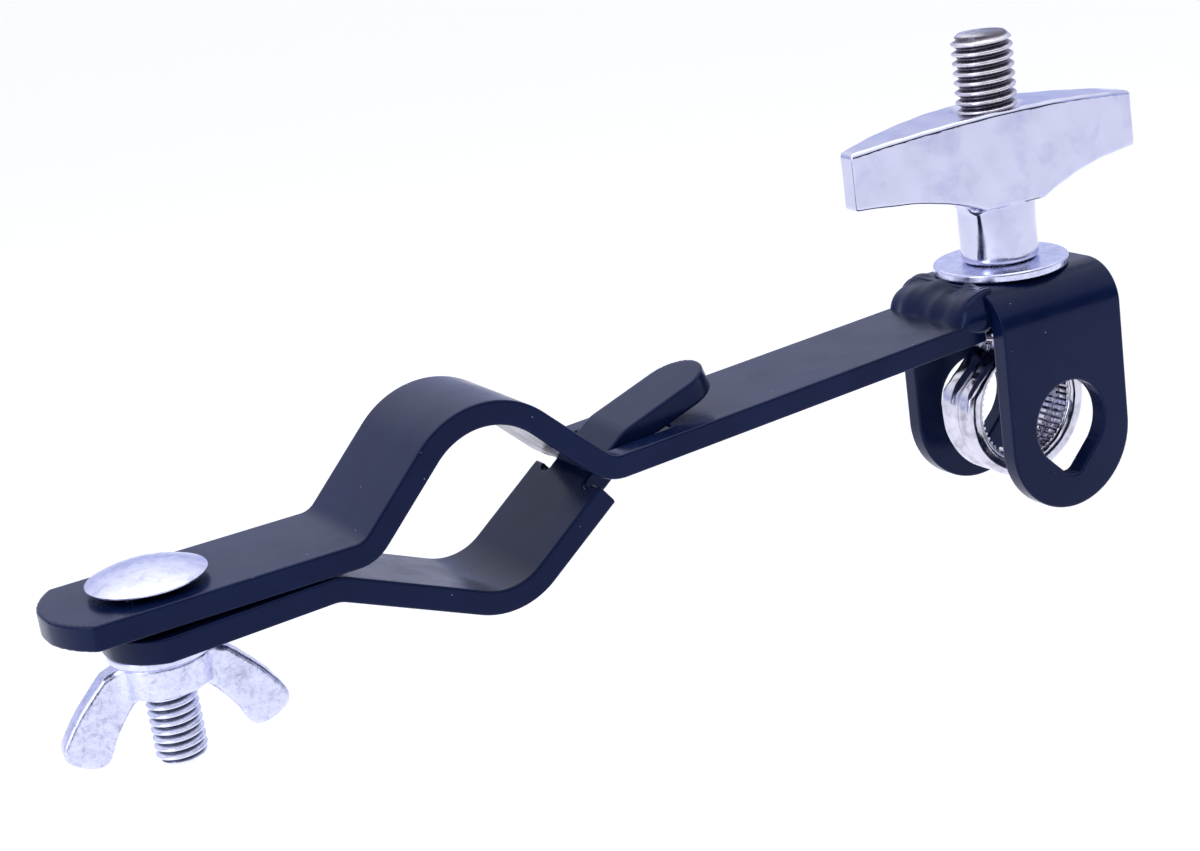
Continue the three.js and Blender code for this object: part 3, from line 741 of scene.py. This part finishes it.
class CLAMP_OT_lower_jaw(bpy.types.Operator):
    """Bends the lower jaw: flat, bowl, two shoulders and the tongue"""
    bl_idname = "clamp.lower_jaw"
    bl_label = "Lower jaw"

    def execute(self, context):
        sizes = context.scene.clamp_bars
        half, thick, edge = sizes.width / MM / 2, sizes.thick / MM / 2, sizes.edge / MM
        tongue = sizes.tongue / MM / 2
        tilt, rise = math.radians(2.0), math.radians(18.5)
        knee, bowl, lift = (-19.92, -3.45), (1.4, -12.4), (20.5, 2.0)
        end_x = edge_mm("lower_jaw", 0, 0)
        start = (end_x, knee[1] - math.tan(tilt) * (knee[0] - end_x))
        tip = (33.8, lift[1] + math.tan(rise) * (33.8 - lift[0]))
        path = Path([start, knee, bowl, lift, tip], [5.0, sizes.bowl / MM, 4.0])
        total = path.length[-1]
        shoulder = path.at_x(14.7)
        hole = path.at_x(BOLT_X)

        def field(s, y, n):
            wide = oblong(s, y, shoulder / 2, 0, shoulder / 2, half)
            wide = common(wide, rounded_end(s, y, 9.0), 0.3)
            narrow = np.maximum(rounded_end(total - s, y, tongue), shoulder - 8 - s)
            plan = np.minimum(wide, narrow)
            for side in (-1, 1):
                plan = cut(plan, disc(s, y, shoulder, side * (tongue + 0.8), 0.8), 0.15)
            slot_field = oblong(s, y, hole, 0, 0.6, 0.01) - 3.5
            plan = cut(plan, slot_field, 0.1)
            return common(plan, slab(n, thick), edge)

        points, quads, normals = skin(field, (0, -half, -thick), (total, half, thick), (0.4, 0.25, 0.2))
        points, normals = path.bend(points, normals)
        finish_piece("lower_bar", points, quads, "enamel", "lower_jaw", ["lower_jaw"], normals)
        return {"FINISHED"}


# ------------------------------------------------------------------ the clamp bolt and its nut
class CLAMP_OT_clamp_bolt(bpy.types.Operator):
    """Makes the clamp bolt: low round head, square neck and rolled thread"""
    bl_idname = "clamp.clamp_bolt"
    bl_label = "Clamp bolt"

    def execute(self, context):
        sizes = context.scene.clamp_screws
        radius = sizes.head_radius / MM
        rim, crown = 1.05, 2.6
        dome = [[radius * math.cos(a), rim + (crown - rim) * (1 - math.cos(a) ** 2)]
                for a in np.linspace(0.12, math.pi / 2 - 0.03, 12)]
        under = [[0.0, 0.2], [3.9, 0.25], [6.2, 0.66], [radius, rim - 0.22], [radius, rim]]
        profile = eased(under + dome[:1], 0.09)[:-1] + dome + [[0.0, crown]]
        points, faces = turned(profile)
        finish_piece("clamp_bolt_head", moved(points, BOLT_X, 0, FLAT_TOP), faces, "zinc", "frame",
                     ["carriage_bolt"])

        neck = 3.0

        def field(x, y, z):
            plan = oblong(x, y, 0, 0, neck - 0.4, neck - 0.4) - 0.4
            return common(plan, slab(z - 0.2, 1.4), 0.2)

        points, quads, normals = skin(field, (-neck, -neck, -1.3), (neck, neck, 1.7), (0.3, 0.3, 0.25))
        finish_piece("clamp_bolt_neck", moved(points, BOLT_X, 0, -0.2), quads, "zinc", "frame",
                     ["carriage_bolt"], normals)

        thread = screw_thread("clamp_bolt_thread", sizes.bolt_radius, sizes.bolt_pitch, 0.58, 0.8,
                              BOLT_X, edge_mm("carriage_bolt", 0, 2), -0.5, "thread")
        settle(thread, "frame", ["carriage_bolt"])
        return {"FINISHED"}


def washer(outer, bore, thick, edge):
    """A flat ring with rounded rims."""
    def field(x, y, z):
        around = np.hypot(x, y)
        ring = np.abs(around - (outer + bore) / 2) - (outer - bore) / 2
        return common(ring, slab(z - thick / 2, thick / 2), edge)

    return skin(field, (-outer, -outer, 0), (outer, outer, thick), (0.25, 0.25, 0.14))


class CLAMP_OT_washers(bpy.types.Operator):
    """Makes the small washer under the wing nut and the bright washer under the T-nut"""
    bl_idname = "clamp.washers"
    bl_label = "Washers"

    def execute(self, context):
        for name, node, bore, body, x in (("clamp_washer", "plain_washer", 3.2, "washer", BOLT_X),
                                          ("bright_washer", "flat_washer", 4.3, "frame", EYE_X)):
            low, high = edge_mm(node, 0, 2), edge_mm(node, 1, 2)
            outer = (edge_mm(node, 1, 0) - edge_mm(node, 0, 0)) / 2
            points, quads, normals = washer(outer, bore, high - low, 0.3)
            finish_piece(name, moved(points, x, 0, low), quads, "zinc", body, [node], normals)
        return {"FINISHED"}


class CLAMP_OT_wing_nut(bpy.types.Operator):
    """Casts the wing nut: a low hub and two wings that splay down and out"""
    bl_idname = "clamp.wing_nut"
    bl_label = "Wing nut"

    def execute(self, context):
        wing = curve((3.2, -0.5), (5.4, -0.2), (7.0, -1.1), (11.0, -4.8), (12.5, -7.6), (13.3, -9.3), (11.8, -10.1),
                     (10.0, -11.4), (8.6, -11.0), (7.8, -10.7), (7.3, -9.4), (6.1, -6.4), (3.2, -3.9), steps=6)
        turn = math.radians(-8)

        def field(x, y, z):
            around = np.hypot(x, y)
            wide = 5.0 + 0.06 * (z + 4)
            hub = common(around - wide, slab(z + 2.05, 1.95), 0.55)
            plate = outline(np.abs(x), z, wing)
            # the wings thin towards their tips
            half = 1.62 - 0.028 * np.maximum(np.abs(x) - 5, 0)
            wings = common(plate, np.abs(y) - half, 0.55)
            body = joined(hub, wings, 1.0)
            uneven = 0.03 * np.sin(0.9 * x + 1.3) * np.sin(1.1 * z + 0.7 * y)
            uneven += 0.012 * np.sin(2.7 * x - 1.9 * z + 2.1 * y)
            return cut(body + uneven, around - 2.98, 0.35)

        points, quads, normals = skin(field, (-14, -6, -13.2), (14, 6, 0.2), (0.2, 0.2, 0.2))
        top = edge_mm("wing_nut", 1, 2)
        finish_piece("wing_nut_casting", moved(points, BOLT_X, 0, top, turn), quads, "casting", "wing_nut",
                     ["wing_nut"], moved(normals, turn=turn))
        return {"FINISHED"}


# ------------------------------------------------------------------ the bracket and its weld
class CLAMP_OT_bracket(bpy.types.Operator):
    """Bends the clevis bracket with its round feet and pointed rod holes"""
    bl_idname = "clamp.bracket"
    bl_label = "Bracket"

    def execute(self, context):
        sizes = context.scene.clamp_bracket
        thick, edge = sizes.thick / MM / 2, sizes.edge / MM
        outer = sizes.width / MM / 2 - thick
        bend = sizes.bend / MM - thick
        top = edge_mm("rod_bracket", 1, 2) - thick
        foot = edge_mm("rod_bracket", 0, 2)
        centre_x = middle("rod_bracket")[0]
        round_r = centre_x - edge_mm("rod_bracket", 0, 0)
        path = Path([(-outer, foot), (-outer, top), (outer, top), (outer, foot)], [bend, bend])
        total = path.length[-1]
        rod_r = sizes.rod_hole / MM
        rod_s = -11.3 - foot

        def field(s, x, n):
            near = np.minimum(s, total - s)
            plan = slab(x, round_r)
            plan = np.where(near < round_r, np.hypot(x, near - round_r) - round_r, plan)
            hole = disc(near, x, rod_s, 0, rod_r)
            point = common((np.abs(x) + (rod_s - near)) / math.sqrt(2) - rod_r, -(near - (rod_s - 7.1)), 0.3)
            hole = np.minimum(hole, np.maximum(point, near - rod_s + 0.65 * rod_r))
            plan = cut(plan, hole, 0.12)
            plan = cut(plan, disc(s, x, total / 2, EYE_X - centre_x, 4.4), 0.12)
            return common(plan, slab(n, thick), edge)

        points, quads, normals = skin(field, (0, -round_r, -thick), (total, round_r, thick), (0.25, 0.28, 0.2))
        points, normals = path.bend(points, normals)
        # the path lies in Y and Z, and what was across it is X
        points = np.stack([points[:, 1] + centre_x, points[:, 0], points[:, 2]], axis=1)
        normals = np.stack([normals[:, 1], normals[:, 0], normals[:, 2]], axis=1)
        finish_piece("clevis_bracket", points, quads[:, ::-1], "enamel", "frame", ["rod_bracket"],
                     normals)
        return {"FINISHED"}


class CLAMP_OT_weld(bpy.types.Operator):
    """Lays the weld: a hollow fillet with lumps melted into it, along the bracket's edge and under the paint"""
    bl_idname = "clamp.weld"
    bl_label = "Weld"

    def execute(self, context):
        bead = context.scene.clamp_bracket.bead / MM
        edge_x = edge_mm("rod_bracket", 0, 0)
        top = edge_mm("rod_bracket", 1, 2)
        lumps = []
        for i, y in enumerate(np.linspace(-6.6, 7.0, 6)):
            lumps.append((edge_x - 1.3 + 0.3 * math.sin(i * 2.4 + 0.6), y, top - 3.0 + 0.2 * math.cos(i * 1.7),
                          bead * (1.0 + 0.1 * math.sin(i * 3.1 + 1.0))))
        # the end of the run, pulled down over the near edge of the bar
        lumps.append((edge_x - 0.9, -7.4, top - 3.9, bead * 0.7))

        def field(x, y, z):
            # a fillet from the bar up to the bracket's edge, its face hollow and uneven
            away = edge_x + 0.6 - x
            face = (away - 4.9 + 1.05 * (z - (top - 4.0))) * 0.69
            face += 0.24 * np.sin(0.8 * y + 0.4 * z + 0.4) + 0.06 * np.sin(1.9 * y - 0.8 * z)
            body = common(face, z - (top + 0.12 + 0.14 * np.sin(1.4 * y)), 0.7)
            body = common(body, (top - 5.2) - z, 0.2)
            body = common(body, -away - 0.9, 0.3)
            body = common(body, np.abs(y + 0.1) - 7.7 - 0.25 * np.sin(1.7 * z), 0.9)
            for cx, cy, cz, r in lumps:
                lump = np.sqrt((x - cx) ** 2 + (y - cy) ** 2 + ((z - cz) * 1.1) ** 2) - r
                body = joined(body, lump, 1.5)
            return body

        points, quads, normals = skin(field, (edge_x - 7, -10.5, top - 6.5), (edge_x + 2.5, 10.5, top + 0.5),
                                      (0.2, 0.2, 0.2))
        finish_piece("weld_lumps", points, quads, "enamel", "frame", ["weld_bead"], normals)
        return {"FINISHED"}


# ------------------------------------------------------------------ the eye bolt and its nut
class CLAMP_OT_eye_bolt(bpy.types.Operator):
    """Makes the eye bolt: a ring with ribbed bore, sloping shoulders and a rolled thread"""
    bl_idname = "clamp.eye_bolt"
    bl_label = "Eye bolt"

    def execute(self, context):
        sizes = context.scene.clamp_screws
        outer, hole = sizes.eye_radius / MM, sizes.eye_hole / MM
        centre = edge_mm("eye_bolt", 0, 2) + outer
        half = 3.2
        slope = math.radians(50)
        neck_z = centre + outer + 0.8

        def field(x, y, z):
            around = np.hypot(x, z - centre)
            # forged flats slope from the stud's foot down to the ring's sides
            sloping = np.abs(x) * math.cos(slope) + (z - centre) * math.sin(slope) - (outer - 1.2)
            neck = common(np.abs(x) - 3.4, np.abs(z - centre - outer + 0.6) - 1.4, 0.4)
            plan = joined(common(around - outer, sloping, 0.5), neck, 0.5)
            plan = cut(plan, around - hole, 0.3)
            # a parting groove round the middle of the rim and up both shoulders
            groove = np.hypot(plan - 0.35, y) - 0.72
            body = cut(common(plan, slab(y, half), 0.95), groove, 0.4)
            return body + 0.03 * np.sin(1.7 * x + 2.1 * z) * np.sin(1.3 * y + 0.5)

        points, quads, normals = skin(field, (-outer, -half, centre - outer), (outer, half, neck_z),
                                      (0.22, 0.2, 0.22))
        finish_piece("eye_ring", moved(points, EYE_X), quads, "nickel", "eye_bolt", ["eye_bolt"], normals)

        thread = screw_thread("eye_bolt_thread", sizes.stud_radius, sizes.stud_pitch, 0.56, 0.9,
                              EYE_X, centre + outer - 1.6, edge_mm("eye_bolt", 1, 2), "stud")
        settle(thread, "eye_bolt", ["eye_bolt"])

        # two rows of ribs, one each side of the middle of the bore
        quarter = Matrix.Rotation(math.radians(90), 4, "X")
        for name, y in (("eye_teeth_front", -1.45), ("eye_teeth_back", 1.45)):
            teeth = grown(name, teeth_tree(), {
                "Count": sizes.teeth, "Radius": (hole + 0.05) * MM, "Tooth Width": 0.5 * MM, "Tooth Height": 0.62 * MM,
                "Tooth Length": 2.3 * MM, "Material": finish("nickel")},
                Matrix.Translation((EYE_X * MM, y * MM, centre * MM)) @ quarter)
            settle(teeth, "eye_bolt", ["eye_bolt"])
        return {"FINISHED"}


class CLAMP_OT_t_nut(bpy.types.Operator):
    """Casts the T-nut: a tapering cross-bar on a round stem"""
    bl_idname = "clamp.t_nut"
    bl_label = "T-nut"

    def execute(self, context):
        span, end_half, mid_half = 21.5, 1.4, 5.1
        crown, end_top, end_low = 29.6, 27.6, 20.3
        stem_r, stem_top = 5.05, 17.8
        base = edge_mm("t_nut", 0, 2)
        turn = math.radians(-5)

        def field(x, y, z):
            far = np.minimum(np.abs(x) / span, 1.2)
            half = end_half + (mid_half - end_half) * (1 - far ** 2)
            roof = crown - (crown - end_top) * far ** 2
            reach = np.clip((np.abs(x) - 4.4) / (span - 4.4), 0, 1)
            under = stem_top - 0.6 + (end_low - stem_top + 0.6) * (1 - (1 - reach) ** 2.6)
            sides = (np.abs(y) - half) * 0.97
            arm = common(sides, np.abs(x) - span, 0.35)
            arm = common(arm, (z - roof) * 0.98, 0.6)
            arm = common(arm, (under - z) * 0.9, 0.4)
            around = np.hypot(x, y)
            stem = common(around - stem_r, np.maximum(base - z, z - 20), 0.7)
            body = joined(arm, stem, 0.1 + 1.1 * np.clip((np.abs(x) - 3.2) / 1.8, 0, 1))
            # the stem is not quite round: hand polishing leaves soft flats
            body = body + 0.05 * np.sin(0.7 * z + 0.4 * x) * np.sin(0.9 * x + 1.1)
            mouth = np.minimum(around - 4.02, (around - 4.9 + (roof - z) * 1.0) * 0.707)
            return cut(body, mouth, 0.15)

        points, quads, normals = skin(field, (-span, -5.6, base), (span, 5.6, crown), (0.25, 0.22, 0.22))
        finish_piece("t_nut_casting", moved(points, EYE_X, 0, 0, turn), quads, "chrome", "t_nut", ["t_nut"],
                     moved(normals, turn=turn))
        return {"FINISHED"}


# ------------------------------------------------------------------ the stage
def lamp(name, place, aim, size, power, tint):
    """A square soft light that faces a point."""
    data = bpy.data.lights.new(name, "AREA")
    data.shape = "RECTANGLE"
    data.size, data.size_y = size
    data.energy = power
    data.color = linear(tint)[:3]
    light = bpy.data.objects.new(name, data)
    light.location = place
    light.rotation_euler = (Vector(aim) - Vector(place)).to_track_quat("-Z", "Y").to_euler()
    bpy.context.scene.collection.objects.link(light)


class CLAMP_OT_stage(bpy.types.Operator):
    """Sets the floor, the soft lights and the camera"""
    bl_idname = "clamp.stage"
    bl_label = "Stage"

    def execute(self, context):
        scene = context.scene
        mesh = bpy.data.meshes.new("floor")
        corners = [(x, y, FLOOR_Z) for x, y in ((-3, -3), (3, -3), (3, 3), (-3, 3))]
        mesh.from_pydata(corners, [], [(0, 1, 2, 3)])
        floor = bpy.data.objects.new("floor", mesh)
        scene.collection.objects.link(floor)
        mesh.materials.append(finish("floor"))

        world = bpy.data.worlds.new("soft studio")
        world.use_nodes = True
        tree = world.node_tree
        tree.nodes.clear()
        where = add(tree, "ShaderNodeTexCoord")
        split = add(tree, "ShaderNodeSeparateXYZ", links={"Vector": where.outputs["Generated"]})
        height = between(tree, split.outputs["Z"], 0.0, 1.0, 0.1, 0.8)
        sky = mixed(tree, height, [0.56, 0.6, 0.9, 1.0], [1.22, 1.22, 1.26, 1.0])
        # the unlit side of the room, behind the camera
        front = between(tree, split.outputs["Y"], 1.0, 0.0, -0.8, -0.45)
        low = between(tree, split.outputs["Z"], 1.0, 0.0, 0.3, 0.5)
        unlit = add(tree, "ShaderNodeMath", operation="MULTIPLY", links={0: front, 1: low}).outputs[0]
        room = mixed(tree, unlit, sky, [0.03, 0.032, 0.05, 1.0])
        glow = add(tree, "ShaderNodeBackground", links={"Color": room}, inputs={"Strength": 1.0})
        add(tree, "ShaderNodeOutputWorld", links={"Surface": glow.outputs["Background"]})
        scene.world = world

        target = (0.015, 0, 0.0)
        lamp("overhead", (0.05, 0.1, 0.7), target, (0.8, 0.5), 1.2, "#ffffff")
        lamp("left window", (-0.6, -0.1, 0.25), target, (0.25, 0.5), 1.0, "#f2f2ff")

        lens = bpy.data.cameras.new("camera")
        lens.lens = 69.0
        lens.sensor_width = 36.0
        lens.clip_start = 0.01
        lens.clip_end = 20.0
        camera = bpy.data.objects.new("camera", lens)
        camera.location = CAMERA_PLACE
        camera.rotation_euler = [math.radians(a) for a in CAMERA_TURN]
        scene.collection.objects.link(camera)
        scene.camera = camera
        scene.view_settings.view_transform = "Standard"
        return {"FINISHED"}


# ------------------------------------------------------------------ panel and registration
OPERATORS = (CLAMP_OT_upper_bar, CLAMP_OT_lower_jaw, CLAMP_OT_clamp_bolt, CLAMP_OT_washers, CLAMP_OT_wing_nut,
             CLAMP_OT_bracket, CLAMP_OT_weld, CLAMP_OT_eye_bolt, CLAMP_OT_t_nut, CLAMP_OT_stage)
GROUPS = {"clamp_bars": BarSizes, "clamp_bracket": BracketSizes, "clamp_screws": ScrewSizes,
          "clamp_colours": FinishColours}


class CLAMP_PT_panel(bpy.types.Panel):
    """Lists the clamp's pieces and their sizes"""
    bl_idname = "CLAMP_PT_panel"
    bl_label = "Pipe Clamp"
    bl_space_type = "VIEW_3D"
    bl_region_type = "UI"
    bl_category = "Pipe Clamp"

    def draw(self, context):
        for operator in OPERATORS:
            self.layout.operator(operator.bl_idname)
        for name, group in GROUPS.items():
            box = self.layout.box()
            for key in group.__annotations__:
                box.prop(getattr(context.scene, name), key)


def register():
    for group in GROUPS.values():
        bpy.utils.register_class(group)
    for operator in OPERATORS:
        bpy.utils.register_class(operator)
    bpy.utils.register_class(CLAMP_PT_panel)
    for name, group in GROUPS.items():
        setattr(bpy.types.Scene, name, PointerProperty(type=group))


def unregister():
    for name in GROUPS:
        delattr(bpy.types.Scene, name)
    bpy.utils.unregister_class(CLAMP_PT_panel)
    for operator in reversed(OPERATORS):
        bpy.utils.unregister_class(operator)
    for group in reversed(list(GROUPS.values())):
        bpy.utils.unregister_class(group)


def main():
    register()
    for operator in OPERATORS:
        group, name = operator.bl_idname.split(".")
        getattr(getattr(bpy.ops, group), name)()


if __name__ == "__main__":
    main()
